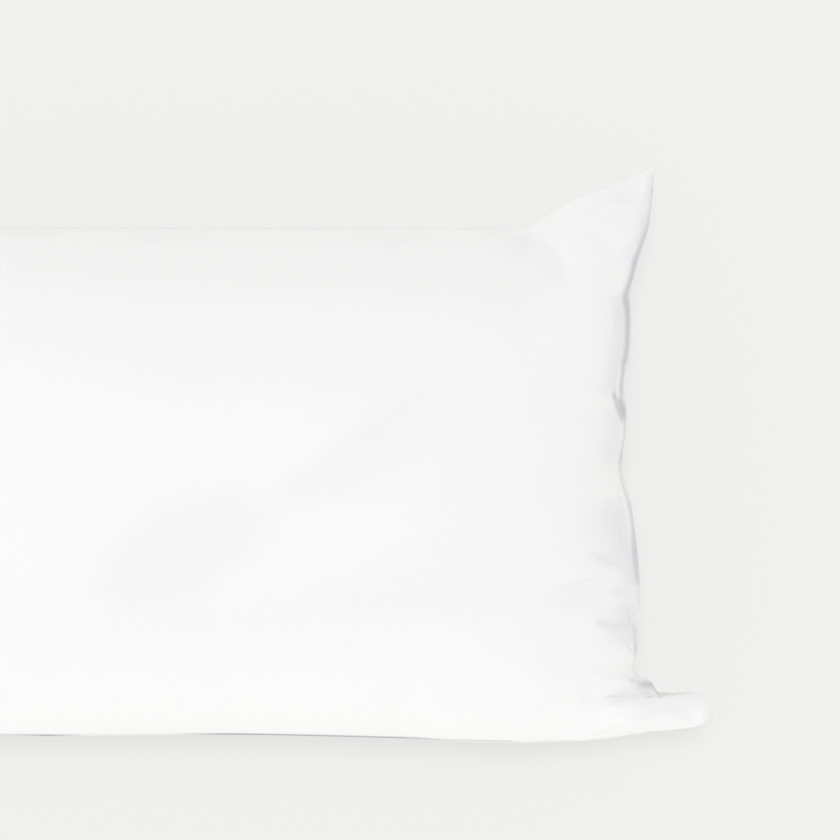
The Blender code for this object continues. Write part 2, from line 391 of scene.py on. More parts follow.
@dataclass(frozen=True)
class CaseForm:
    """The form of the filled case, from its seams and how full it is."""

    half_length: float = 0.330
    half_width: float = 0.218
    crown_rise: float = 0.092  # from the seam up to the top of the front
    back_drop: float = 0.104  # from the seam down to the back, before it is pressed flat
    seam_height: float = 0.076  # from the rest up to the seam of the body
    rest_blend: float = 0.010  # height over which the back rounds off into its flat rest
    seam_half_thickness: float = 0.0004
    roll_half_height: float = 0.0011  # of the pressed edge, which the seam allowance pads out
    roll_slimness: float = 2.5  # a pressed edge is this many times as wide as half its height
    lengthwise_fullness: float = 2.8  # the higher, the flatter the middle and the steeper the ends
    crosswise_fullness: float = 2.5
    edge_rounding: float = 0.56  # the lower, the blunter the case is beside its seam
    tongue_root: tuple[float, float] = (0.270, -0.200)
    tongue_tip: tuple[float, float] = (0.387, -0.197)
    tongue_half_width: float = 0.0165
    tongue_shares: tuple[float, ...] = (0.00, 0.20, 0.40, 0.55, 0.75, 1.00)
    tongue_half_heights: tuple[float, ...] = (0.000, 0.008, 0.024, 0.028, 0.022, 0.012)

    def plain_body(self, along: np.ndarray, across: np.ndarray) -> np.ndarray:
        """Return the points on the plain rectangle that the seams are drawn from."""
        return np.column_stack((along * self.half_length, across * self.half_width, 0 * along))

    def seam_pull(self, along: np.ndarray, across: np.ndarray) -> np.ndarray:
        """Work out how far the four seams pull the cloth away from the plain body.

        Args:
            along: places from -1 at the left end to 1 at the right end.
            across: places from -1 at the lower side to 1 at the upper side.

        Returns:
            One pull in metres for each place.
        """
        pull = np.zeros((len(along), 3))
        end_shares, side_shares = [], []
        for rows, end in ((LEFT_END, -1), (RIGHT_END, 1)):
            seam = through_rows(rows, across)
            end_shares.append(eased(1 - (1 - along * end) / seam[:, REACH]))
            pull += end_shares[-1] * (seam[:, PLACE] - self.plain_body(0 * along + end, across))
        for rows, side in ((LOWER_SIDE, -1), (UPPER_SIDE, 1)):
            seam = through_rows(rows, along)
            side_shares.append(eased(1 - (1 - across * side) / seam[:, REACH]))
            pull += side_shares[-1] * (seam[:, PLACE] - self.plain_body(along, 0 * across + side))
        # A corner belongs to two seams, so its pull is counted once only.
        sides = ((LOWER_SIDE, -1, side_shares[0]), (UPPER_SIDE, 1, side_shares[1]))
        for rows, side, side_share in sides:
            for row, end, end_share in ((rows[0], -1, end_shares[0]), (rows[-1], 1, end_shares[1])):
                corner = (row.x - end * self.half_length, row.y - side * self.half_width, row.lift)
                pull -= side_share * end_share * np.array(corner)
        return pull

    def lip_width(self, along: np.ndarray, across: np.ndarray) -> tuple[np.ndarray, np.ndarray]:
        """Read how wide the pressed edge is.

        Args:
            along: places from the left end to the right end.
            across: places from the lower side to the upper side.

        Returns:
            Its width in metres at the nearer end and at the nearer side.
        """
        left, right = (through_rows(rows, across)[:, LIP] for rows in (LEFT_END, RIGHT_END))
        lower, upper = (through_rows(rows, along)[:, LIP] for rows in (LOWER_SIDE, UPPER_SIDE))
        return np.where(along < 0, left, right), np.where(across < 0, lower, upper)

    def fullness(self, along: np.ndarray, across: np.ndarray) -> np.ndarray:
        """Work out how far a panel stands off the seam.

        Args:
            along: places from the left end to the right end.
            across: places from the lower side to the upper side.

        Returns:
            A share for each place, from 0 on the pressed edge to 1 in the middle.
        """
        end_lip, side_lip = self.lip_width(along, across)
        end_edge = 1 - end_lip / self.half_length
        side_edge = 1 - side_lip / self.half_width
        lengthwise = 1 - np.abs(along / end_edge) ** self.lengthwise_fullness
        crosswise = 1 - np.abs(across / side_edge) ** self.crosswise_fullness
        return (np.clip(lengthwise, 0, 1) * np.clip(crosswise, 0, 1)) ** self.edge_rounding

    def roll(self, along: np.ndarray, across: np.ndarray) -> np.ndarray:
        """Work out half the thickness of the rounded pressed edge.

        Args:
            along: places from the left end to the right end.
            across: places from the lower side to the upper side.

        Returns:
            Half the thickness in metres for each place, which is nothing further in.
        """
        end_lip, side_lip = self.lip_width(along, across)
        from_end = (1 - np.abs(along)) * self.half_length / end_lip
        from_side = (1 - np.abs(across)) * self.half_width / side_lip
        share = np.clip(np.minimum(from_end, from_side), 0, 1)
        lip = np.where(from_end < from_side, end_lip, side_lip)
        half_height = np.minimum(self.roll_half_height, lip / self.roll_slimness)
        return half_height * np.sqrt(1 - (2 * share - 1) ** 2)

    def tongue_half_height(self, points: np.ndarray) -> np.ndarray:
        """Work out half the height that the rolled corner has on its own.

        Args:
            points: points of the cloth, of which x and y are read.

        Returns:
            Half the height in metres at each point.
        """
        distance, share, _ = beside_path(points, (self.tongue_root, self.tongue_tip))
        tallest = np.interp(share, self.tongue_shares, self.tongue_half_heights)
        return tallest * np.sqrt(np.clip(1 - (distance / self.tongue_half_width) ** 2, 0, 1))

    def points_at(
        self, along: np.ndarray, across: np.ndarray, panel: np.ndarray
    ) -> tuple[np.ndarray, np.ndarray]:
        """Place points of the cloth on the filled case.

        Args:
            along: places from the left end to the right end.
            across: places from the lower side to the upper side.
            panel: 1 on the front and -1 on the back.

        Returns:
            The points in metres, and how far the panel stands off the seam at each.
        """
        points = self.plain_body(along, across) + self.seam_pull(along, across)
        swell = self.fullness(along, across)
        height = np.where(panel > 0, self.crown_rise, self.back_drop)
        filled = np.hypot(height * swell, self.tongue_half_height(points))
        off_seam = self.seam_half_thickness + filled
        points[:, 2] += self.seam_height + panel * (off_seam + self.roll(along, across))
        return points, swell

    def press_flat(self, points: np.ndarray) -> None:
        """Round the lowest part of the back off into a flat rest at height 0.

        Args:
            points: points of the cloth, of which the heights are changed.
        """
        height, blend = points[:, 2], self.rest_blend
        rounded = (height + blend) ** 2 / (4 * blend)
        points[:, 2] = np.where(np.abs(height) < blend, rounded, np.maximum(height, 0))


def through_rows(rows: tuple[SeamRow, ...], shares: np.ndarray) -> np.ndarray:
    """Read a side's seam on a smooth curve through its rows.

    Args:
        rows: the side's rows in order.
        shares: places on the side's cloth, from -1 to 1.

    Returns:
        The seam's x, y, lift, reach and lip for each place.
    """
    table = np.array(rows)
    stations, values = table[:, 0], table[:, 1:]
    slopes = np.gradient(values, stations, axis=0)
    before = np.clip(np.searchsorted(stations, shares) - 1, 0, len(rows) - 2)
    span = (stations[before + 1] - stations[before])[:, None]
    t = (shares - stations[before])[:, None] / span
    return (
        values[before] * (1 + 2 * t) * (1 - t) ** 2
        + slopes[before] * span * t * (1 - t) ** 2
        + values[before + 1] * t**2 * (3 - 2 * t)
        + slopes[before + 1] * span * t**2 * (t - 1)
    )


def soft(share: np.ndarray) -> np.ndarray:
    """Return the share, held between 0 and 1, with a soft start and end."""
    share = np.clip(share, 0, 1)
    return share * share * (3 - 2 * share)


def eased(share: np.ndarray) -> np.ndarray:
    """Return the soft share as a column."""
    return soft(share)[:, None]


def across_grid(lengthwise: np.ndarray, grid: np.ndarray, crosswise: np.ndarray) -> np.ndarray:
    """Return a grid of moves, weighed along its columns and then along its rows."""
    return np.einsum("ai,ijk,bj->abk", lengthwise, grid, crosswise, optimize=True)


def blur_weights(count: int, cell: float, reach: float) -> np.ndarray:
    """Work out the weights that even out a line of points.

    Args:
        count: how many points it has.
        cell: the distance between two of them.
        reach: the distance over which they are evened out.

    Returns:
        One row of weights for each point.
    """
    apart = (np.arange(count)[:, None] - np.arange(count)[None, :]) * cell
    weights = np.exp(-0.5 * (apart / reach) ** 2)
    return weights / weights.sum(axis=1, keepdims=True)


def spline_weights(places: np.ndarray, count: int) -> np.ndarray:
    """Work out how a smooth curve through evenly spaced points reads at other places.

    Args:
        places: where it is read, counted in points.
        count: how many points it has.

    Returns:
        One row of weights for each place.
    """
    before = np.clip(np.floor(places).astype(int), 0, count - 2)
    t = places - before
    # Each of the four nearest points, counted from the one before, and its share in the curve.
    taps = (
        (-1, (-(t**3) + 2 * t**2 - t) / 2),
        (0, (3 * t**3 - 5 * t**2 + 2) / 2),
        (1, (-3 * t**3 + 4 * t**2 + t) / 2),
        (2, (t**3 - t**2) / 2),
    )
    weights = np.zeros((len(places), count))
    for offset, share in taps:
        np.add.at(weights, (np.arange(len(places)), np.clip(before + offset, 0, count - 1)), share)
    return weights


def grid_faces(grid: np.ndarray) -> np.ndarray:
    """Return the four-sided faces of a grid of point numbers, facing up."""
    corners = (grid[:-1, :-1], grid[1:, :-1], grid[1:, 1:], grid[:-1, 1:])
    return np.stack(corners, axis=-1).reshape(-1, 4)


def beside_path(
    points: np.ndarray, path: tuple[tuple[float, float], ...]
) -> tuple[np.ndarray, np.ndarray, np.ndarray]:
    """Measure how points lie beside a line of straight runs, in plan.

    Args:
        points: the points, of which x and y are read.
        path: the line's corners in order.

    Returns:
        The distance to the line, the share of its length where it is nearest, and 1 to the left of
        the way it runs or -1 to the right.
    """
    corners = np.array(path)
    runs = np.diff(corners, axis=0)
    lengths = np.linalg.norm(runs, axis=1)
    walked = np.concatenate(([0.0], np.cumsum(lengths))) / lengths.sum()
    nearest = np.full(len(points), np.inf)
    share, side = np.zeros(len(points)), np.ones(len(points))
    for corner, run, length, start in zip(corners, runs, lengths, walked):
        away = points[:, :2] - corner
        on_run = np.clip(away @ run / length**2, 0, 1)
        distance = np.linalg.norm(away - on_run[:, None] * run, axis=1)
        closer = distance < nearest
        nearest = np.where(closer, distance, nearest)
        share = np.where(closer, start + on_run * length / lengths.sum(), share)
        turn = np.sign(run[0] * away[:, 1] - run[1] * away[:, 0])
        side = np.where(closer, np.where(turn == 0, 1, turn), side)
    return nearest, share, side


def middle_of_body() -> tuple[float, float]:
    """Return x and y of the middle of the body, from the solid's box at its upper corners' tips."""
    low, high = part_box(NODE)
    return low.x - min(row.x for row in UPPER_SIDE), high.y - max(row.y for row in UPPER_SIDE)


def walked_from_middle(line: np.ndarray) -> np.ndarray:
    """Return how far each point of a line lies from its middle point, measured on the line."""
    walked = np.concatenate(([0.0], np.cumsum(np.linalg.norm(np.diff(line, axis=0), axis=1))))
    return walked - walked[len(line) // 2]


def write_points(mesh: bpy.types.Mesh, points: np.ndarray) -> None:
    """Put the points back into the mesh."""
    mesh.vertices.foreach_set("co", points.astype(np.float32).ravel())
    mesh.update()


@dataclass(frozen=True)
class PressedFoldsWithPaintedShade:
    """The folds that show on the front, each pressed in along its own line, and the painted shade
    along them.
    """

    folds: tuple[Fold, ...]
    free_rim: float = 0.06  # folds fade out where the panel stands off the seam by less than this

    def press(
        self, points: np.ndarray, normals: np.ndarray, panel: np.ndarray, swell: np.ndarray
    ) -> np.ndarray:
        """Press every fold into the points.

        Args:
            points: the cloth's points, which are moved.
            normals: the cloth's own normals.
            panel: 1 on the front and -1 on the back.
            swell: how far the panel stands off the seam.

        Returns:
            How much painted shade each point takes, from 0 to 1.
        """
        hold = np.clip(swell / self.free_rim, 0, 1)
        depth, shade = np.zeros(len(points)), np.zeros(len(points))
        on_front = panel == Panel.FRONT.value
        for fold in self.folds:
            distance, share, side = beside_path(points, fold.path)
            width = np.where(side > 0, fold.left_width, fold.right_width)
            ends = soft(np.minimum(share, 1 - share) / fold.fade + TINY) ** 0.5
            trough = on_front * np.exp(-((distance / width) ** 2)) * ends
            depth += fold.depth * trough
            shade = np.maximum(shade, fold.shade * trough * trough)
        points -= normals * (depth * hold)[:, None]
        return shade


@dataclass(frozen=True)
class SettledSlack:
    """The gathers that the cloth's slack makes over its filling, found by a cloth simulation.

    The sewn rim and the rest are held. The cloth between them is cut a little too large for the
    form, and the filling presses it out, so that it gathers along the seams and in the corners. The
    gathers alone are kept: the simulation's own swelling is evened out of its result.
    """

    flat_length: float = 0.75
    flat_width: float = 0.50
    cell: float = 0.0065  # between neighbouring points of the simulated cloth
    line_points: int = 4001  # enough to measure a middle line of the cloth by
    slack: float = 0.03  # how much too large the cloth is cut for the form
    pressure: float = 4.0
    frames: int = 20
    substeps: int = 5
    point_mass: float = 0.02
    stretch: float = 15.0
    shear: float = 5.0
    bend: float = 0.05
    even_out: float = 0.040  # everything broader than this belongs to the form, not to a gather
    rim_hold: float = 0.014  # the gathers rise over this much cloth from the seam
    rest_hold: float = 0.012  # and over this height above the rest
    held_below: float = 0.0008  # the back is held where it lies lower than this above the rest
    most: float = 0.010  # the furthest that a gather may move the cloth
    outer_share: float = 0.2  # the outermost part of the way from the middle, beside the seam
    past_outline: float = 0.25  # how much of a gather may stand out past the seam there
    # The front lies smoother than the back. How much of its gathers stays, from end to end:
    front_places: tuple[float, ...] = (-0.30, -0.24, 0.27, 0.32)
    front_shares: tuple[float, ...] = (0.70, 0.14, 0.14, 0.50)

    def stations(self, form: CaseForm) -> tuple[np.ndarray, np.ndarray]:
        """Find the places that lie evenly spaced on the cloth's own middle lines.

        Args:
            form: the form that the cloth lies over.

        Returns:
            The places from end to end and those from side to side, each from -1 to 1.
        """
        fine = np.linspace(-1, 1, self.line_points)
        middle_lines = (
            (self.flat_length, fine, 0 * fine),
            (self.flat_width, 0 * fine, fine),
        )
        found = []
        for size, along, across in middle_lines:
            line, _ = form.points_at(along, across, np.ones_like(fine))
            walked = walked_from_middle(line)
            count = int(round(size / self.cell)) + 1
            places = np.interp(np.linspace(walked[0], walked[-1], count), walked, fine)
            places[[0, -1]] = -1, 1
            found.append(places)
        return found[0], found[1]

    def gathers(
        self, form: CaseForm, along: np.ndarray, across: np.ndarray
    ) -> dict[Panel, np.ndarray]:
        """Work out the gathers on the case's own grid.

        Args:
            form: the form that the cloth lies over.
            along: the grid's places from end to end.
            across: the grid's places from side to side.

        Returns:
            For each panel, one move in metres for each point of the grid.
        """
        columns, rows = self.stations(form)
        started = {panel: self.place(form, columns, rows, panel) for panel in Panel}
        moved = self.simulate(started, len(columns), len(rows))
        lengthwise, crosswise = (
            spline_weights(np.interp(wanted, places, np.arange(len(places))), len(places))
            for wanted, places in ((along, columns), (across, rows))
        )
        tamed = {
            panel: self.tame(move, started[panel], columns, rows, panel)
            for panel, move in moved.items()
        }
        return {panel: across_grid(lengthwise, move, crosswise) for panel, move in tamed.items()}

    def place(
        self, form: CaseForm, columns: np.ndarray, rows: np.ndarray, panel: Panel
    ) -> np.ndarray:
        """Place one panel of the cloth on the form.

        Args:
            form: the form that the cloth lies over.
            columns: the grid's places from end to end.
            rows: the grid's places from side to side.
            panel: the panel.

        Returns:
            The panel's points, column by column.
        """
        along, across = (part.ravel() for part in np.meshgrid(columns, rows, indexing="ij"))
        points, _ = form.points_at(along, across, np.full(along.size, panel.value))
        form.press_flat(points)
        return points

    def simulate(
        self, started: dict[Panel, np.ndarray], columns: int, rows: int
    ) -> dict[Panel, np.ndarray]:
        """Let the cloth settle.

        Args:
            started: each panel's points before the simulation.
            columns: how many points a panel has from end to end.
            rows: how many points it has from side to side.

        Returns:
            Each panel's moves, as a grid.
        """
        grid = np.arange(columns * rows).reshape(columns, rows)
        on_rim = np.ones((columns, rows), dtype=bool)
        on_rim[1:-1, 1:-1] = False
        on_rim = on_rim.ravel()
        front, back = started[Panel.FRONT].copy(), started[Panel.BACK]
        front[on_rim] = (front[on_rim] + back[on_rim]) / 2
        back_index = np.where(on_rim, grid.ravel(), 0)
        back_index[~on_rim] = grid.size + np.arange((~on_rim).sum())
        points = np.concatenate((front, back[~on_rim]))
        faces = grid_faces(grid)
        faces = np.concatenate((faces, back_index[faces][:, ::-1]))
        mesh = bpy.data.meshes.new("slack_cloth")
        mesh.from_pydata(points.tolist(), [], faces.tolist())
        cloth = bpy.data.objects.new("slack_cloth", mesh)
        bpy.context.scene.collection.objects.link(cloth)
        held = np.flatnonzero(np.concatenate((on_rim, back[~on_rim, 2] < self.held_below)))
        cloth.vertex_groups.new(name="held").add(held.tolist(), 1.0, "REPLACE")
        self.add_cloth(cloth)
        scene = bpy.context.scene
        scene.frame_start, scene.frame_end = 1, self.frames
        for step in range(1, self.frames + 1):
            scene.frame_set(step)
        settled = cloth.evaluated_get(bpy.context.evaluated_depsgraph_get())
        ended = np.empty(points.size, dtype=np.float32)
        settled.data.vertices.foreach_get("co", ended)
        moved = ended.reshape(-1, 3) - points
        bpy.data.objects.remove(cloth, do_unlink=True)
        scene.frame_set(1)
        return {
            Panel.FRONT: moved[: grid.size].reshape(columns, rows, 3),
            Panel.BACK: moved[back_index].reshape(columns, rows, 3),
        }

    def add_cloth(self, cloth: bpy.types.Object) -> None:
        """Give the mesh the cotton's stiffness, its slack and the filling's pressure.

        Args:
            cloth: the simulated cloth, which has a vertex group "held".
        """
        modifier = cloth.modifiers.new("cloth", "CLOTH")
        modifier.collision_settings.use_collision = False
        modifier.point_cache.frame_start = 1
        modifier.point_cache.frame_end = self.frames
        settings = modifier.settings
        settings.quality = self.substeps
        settings.mass = self.point_mass
        settings.tension_stiffness = self.stretch
        settings.compression_stiffness = self.stretch
        settings.shear_stiffness = self.shear
        settings.bending_stiffness = self.bend
        settings.use_pressure = True
        settings.uniform_pressure_force = self.pressure
        settings.vertex_group_mass = "held"
        settings.shrink_min = -self.slack
        settings.effector_weights.gravity = 0

    def tame(
        self,
        moved: np.ndarray,
        started: np.ndarray,
        columns: np.ndarray,
        rows: np.ndarray,
        panel: Panel,
    ) -> np.ndarray:
        """Keep the gathers of the moves and leave their swelling out.

        Args:
            moved: the panel's moves, as a grid.
            started: the panel's points before the simulation.
            columns: the grid's places from end to end.
            rows: the grid's places from side to side.
            panel: the panel.

        Returns:
            The gathers, as a grid of moves.
        """
        started = started.reshape(moved.shape)
        broad = [blur_weights(len(places), self.cell, self.even_out) for places in (columns, rows)]
        gathers = moved - across_grid(broad[0], moved, broad[1])
        size = np.linalg.norm(gathers, axis=2, keepdims=True)
        gathers *= np.tanh(size / self.most) * self.most / np.maximum(size, TINY)
        from_end = np.minimum(np.arange(len(columns)), np.arange(len(columns))[::-1])[:, None]
        from_side = np.minimum(np.arange(len(rows)), np.arange(len(rows))[::-1])[None, :]
        hold = soft(np.minimum(from_end, from_side) * self.cell / self.rim_hold)
        if panel is Panel.BACK:
            hold = hold * soft(started[..., 2] / self.rest_hold)
        else:
            hold = hold * np.interp(started[..., 0], self.front_places, self.front_shares)
        gathers *= hold[..., None]
        for axis, places in ((0, columns[:, None]), (1, rows[None, :])):
            way = np.sign(places)
            beside_seam = soft((np.abs(places) - (1 - self.outer_share)) / self.outer_share)
            outer = beside_seam * (1 - self.past_outline)
            gathers[..., axis] -= way * outer * np.maximum(way * gathers[..., axis], 0)
        return gathers


@dataclass(frozen=True)
class FilledCase:
    """The filled pillowcase: one closed skin of two panels."""

    form: CaseForm
    slack: SettledSlack
    folds: PressedFoldsWithPaintedShade
    finish: CottonPercale
    rim_spacing: float = 0.0004  # between the grid's rows on the pressed edge
    rim_rows: int = 12
    spacing: float = 0.0030  # between its rows further in
    growth: float = 1.12  # from one spacing to the next between the two
    fill: float = 0.8  # from 0, slack, to 1, tight
    seam_shadow_width: float = 0.0019  # width of the painted shadow along the seam that closes the lower side
    # How dark the painted seam shadow shows, by the distance along the side: the cloth rolls over
    # the seam here and there.
    seam_shadow_places: tuple[float, ...] = (-0.90, -0.60, -0.50, -0.40, -0.16, -0.05, 0.40, 0.56, 0.80)
    seam_shadow_shades: tuple[float, ...] = (0.00, 0.40, 1.00, 0.05, 0.05, 0.95, 0.85, 0.12, 0.00)

    def stations(self, half_size: float) -> np.ndarray:
        """Space the grid, close together at the rim and wider inside.

        Args:
            half_size: half the length or width that the grid covers.

        Returns:
            The grid's places, from -1 to 1.
        """
        steps = [self.rim_spacing] * self.rim_rows
        while steps[-1] < self.spacing:
            steps.append(min(steps[-1] * self.growth, self.spacing))
        even = int(round((half_size - sum(steps)) / self.spacing))
        steps += [(half_size - sum(steps)) / even] * even
        half = 1 - np.concatenate(([0.0], np.cumsum(steps))) / half_size
        half[-1] = 0.0
        return np.concatenate((-half[:-1], half[::-1]))

    def build(self) -> bpy.types.Object:
        """Make the case, dressed and in its place round the solid.

        Returns:
            The case's object.
        """
        middle_x, middle_y = middle_of_body()
        along = self.stations(self.form.half_length)
        across = self.stations(self.form.half_width)
        mesh, columns, rows, panel = self.skin(len(along), len(across))
        points, swell = self.form.points_at(along[columns], across[rows], panel)
        gathers = self.slack.gathers(self.form, along, across)
        points += np.concatenate([gathers[side].reshape(-1, 3) for side in Panel])
        write_points(mesh, points)
        normals = np.empty(points.size)
        mesh.vertices.foreach_get("normal", normals)
        shade = self.folds.press(points, normals.reshape(-1, 3), panel, swell)
        # Painted shadow: a dark line along the lower side's seam, added to the fold shade.
        from_lower = (1 + across[rows]) * self.form.half_width / self.seam_shadow_width
        painted_seam_shadow = np.interp(along[columns], self.seam_shadow_places, self.seam_shadow_shades)
        shade = np.maximum(shade, painted_seam_shadow * (1 - soft(from_lower)))
        self.form.press_flat(points)
        points[:, 0] += middle_x
        points[:, 1] += middle_y
        write_points(mesh, points)
        self.lay_plan(mesh, points, columns, rows, panel)
        mesh.attributes.new("crease_shade", "FLOAT", "POINT").data.foreach_set("value", shade)
        mesh.shade_smooth()
        mesh.materials.append(self.finish.material())
        case = bpy.data.objects.new("filled_case", mesh)
        bpy.context.scene.collection.objects.link(case)
        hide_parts(NODE)
        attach(case, BODY)
        return case

    def skin(
        self, columns: int, rows: int
    ) -> tuple[bpy.types.Mesh, np.ndarray, np.ndarray, np.ndarray]:
        """Make the closed skin of two grids that a narrow strip joins at the rim.

        Args:
            columns: how many points the grid has from end to end.
            rows: how many points it has from side to side.

        Returns:
            The mesh, and each point's column, row and panel.
        """
        grid = np.arange(columns * rows).reshape(columns, rows)
        front = grid_faces(grid)
        back = front[:, ::-1] + grid.size
        rim = np.concatenate((grid[:, 0], grid[-1, 1:], grid[-2::-1, -1], grid[0, -2::-1]))
        strip = np.column_stack((rim[:-1] + grid.size, rim[1:] + grid.size, rim[1:], rim[:-1]))
        mesh = bpy.data.meshes.new("filled_case")
        faces = np.concatenate((front, back, strip))
        mesh.vertices.add(len(Panel) * grid.size)
        mesh.loops.add(faces.size)
        mesh.loops.foreach_set("vertex_index", faces.ravel().astype(np.int32))
        mesh.polygons.add(len(faces))
        first_corners = np.arange(0, faces.size, faces.shape[1], dtype=np.int32)
        mesh.polygons.foreach_set("loop_start", first_corners)
        mesh.update(calc_edges=True)
        column, row = (part.ravel() for part in np.indices((columns, rows)))
        panel = np.repeat((Panel.FRONT.value, Panel.BACK.value), grid.size)
        return mesh, np.tile(column, len(Panel)), np.tile(row, len(Panel)), panel

    def lay_plan(
        self,
        mesh: bpy.types.Mesh,
        points: np.ndarray,
        columns: np.ndarray,
        rows: np.ndarray,
        panel: np.ndarray,
    ) -> None:
        """Write the flat cloth's own plan, in metres, to the UV map that the weave is drawn on.

        Args:
            mesh: the case's mesh.
            points: its finished points.
            columns: each point's column.
            rows: each point's row.
            panel: each point's panel.
        """
        front = points[panel > 0].reshape(columns.max() + 1, rows.max() + 1, 3)
        lengthwise = walked_from_middle(front[:, front.shape[1] // 2])
        crosswise = walked_from_middle(front[front.shape[0] // 2])
        corner_points = np.empty(len(mesh.loops), dtype=np.int32)
        mesh.loops.foreach_get("vertex_index", corner_points)
        plan = np.column_stack((lengthwise[columns], crosswise[rows]))[corner_points]
        mesh.uv_layers.new(name="cloth").data.foreach_set("uv", plan.astype(np.float32).ravel())


@dataclass(frozen=True)
class Studio:
    """The pale table, the soft light round it and the camera over it."""

    table: BackLitSweep
    table_half_size: float = 12.0
    table_cells: int = 8
    dome_towards: tuple[float, float, float] = (-0.14, -0.13, -0.97)  # where it is brightest
    dome_dim: float = 0.80  # its brightness furthest from there
    dome_bright: float = 3.20
    horizon_hex: str = "F0F0EE"
    horizon_top: float = 0.10  # height on the dome up to which it has the table's colour
    horizon_end: float = 0.25  # height from which it has its own brightness
    cast_direction: tuple[float, float, float] = (0.00, 0.24, 1.0)  # towards the lamp
    cast_strength: float = 4.7
    cast_angle: float = 0.40  # the lamp's width in radians: the wider, the softer the shadow
    view_centre: tuple[float, float] = (0.1522, 0.0530)  # from the middle of the body
    view_width: float = 0.7182  # of the view at the height of the seam
    lens: float = 120.0  # in millimetres

    def build(self, seam_height: float, body_middle: Vector) -> None:
        """Make the table, the lights and the camera.

        Args:
            seam_height: height of the case's seam, where the view has its width.
            body_middle: the middle of the body between the seams.
        """
        floor = self.build_table(body_middle)
        self.light_dome()
        self.light_table(floor)
        self.place_camera(seam_height, body_middle)

    def build_table(self, body_middle: Vector) -> bpy.types.Object:
        """Make the table top.

        Args:
            body_middle: the middle of the body, under which the table has its own.

        Returns:
            The table's object.
        """
        shape = bmesh.new()
        bmesh.ops.create_grid(
            shape,
            x_segments=self.table_cells,
            y_segments=self.table_cells,
            size=self.table_half_size,
        )
        mesh = bpy.data.meshes.new("table")
        shape.to_mesh(mesh)
        shape.free()
        mesh.materials.append(self.table.material())
        floor = bpy.data.objects.new("table", mesh)
        floor.location = body_middle
        bpy.context.scene.collection.objects.link(floor)
        return floor

    def light_dome(self) -> None:
        """Make the soft light that comes from all round, strongest from one side."""
        world = bpy.data.worlds.new("soft_dome")
        bpy.context.scene.world = world
        world.use_nodes = True
        tree = world.node_tree
        way = add_node(tree, "ShaderNodeTexCoord").outputs["Generated"]
        aimed = add_node(
            tree,
            "ShaderNodeVectorMath",
            {"operation": "DOT_PRODUCT"},
            {1: Vector(self.dome_towards).normalized()},
            {0: way},
        ).outputs["Value"]
        level = add_node(
            tree,
            "ShaderNodeMapRange",
            inputs={
                "From Min": -1.0,
                "From Max": 1.0,
                "To Min": self.dome_dim,
                "To Max": self.dome_bright,
            },
            links={"Value": aimed},
        ).outputs["Result"]
        height = add_node(tree, "ShaderNodeSeparateXYZ", links={0: way}).outputs["Z"]
        above = add_node(
            tree,
            "ShaderNodeMapRange",
            {"interpolation_type": "SMOOTHSTEP"},
            {"From Min": self.horizon_top, "From Max": self.horizon_end},
            {"Value": height},
        ).outputs["Result"]
        colour = add_node(
            tree,
            "ShaderNodeMix",
            {"data_type": "RGBA"},
            {"A": linear_colour(self.horizon_hex)},
            {"Factor": above, "B": level},
        ).outputs["Result"]
        tree.links.new(colour, tree.nodes["Background"].inputs["Color"])

    def light_table(self, floor: bpy.types.Object) -> None:
        """Light the table alone from above, so that the case casts a soft shadow to one side.

        Args:
            floor: the table.
        """
        lamp = bpy.data.lights.new("table_light", "SUN")
        lamp.energy = self.cast_strength
        lamp.angle = self.cast_angle
        light = bpy.data.objects.new("table_light", lamp)
        light.rotation_euler = Vector(self.cast_direction).to_track_quat("Z", "Y").to_euler()
        bpy.context.scene.collection.objects.link(light)
        lit = bpy.data.collections.new("lit_by_table_light")
        lit.objects.link(floor)
        light.light_linking.receiver_collection = lit

    def place_camera(self, seam_height: float, body_middle: Vector) -> None:
        """Put the camera straight above the view's centre, looking down on the case's face.

        Args:
            seam_height: height of the case's seam, where the view has its width.
            body_middle: the middle of the body between the seams.
        """
        camera = bpy.data.cameras.new("camera")
        camera.lens = self.lens
        distance = self.view_width * self.lens / camera.sensor_width
        eye = bpy.data.objects.new("camera", camera)
        eye.location = (
            body_middle.x + self.view_centre[0],
            body_middle.y + self.view_centre[1],
            seam_height + distance,
        )
        bpy.context.scene.collection.objects.link(eye)
        bpy.context.scene.camera = eye
        bpy.context.scene.view_settings.view_transform = "Standard"
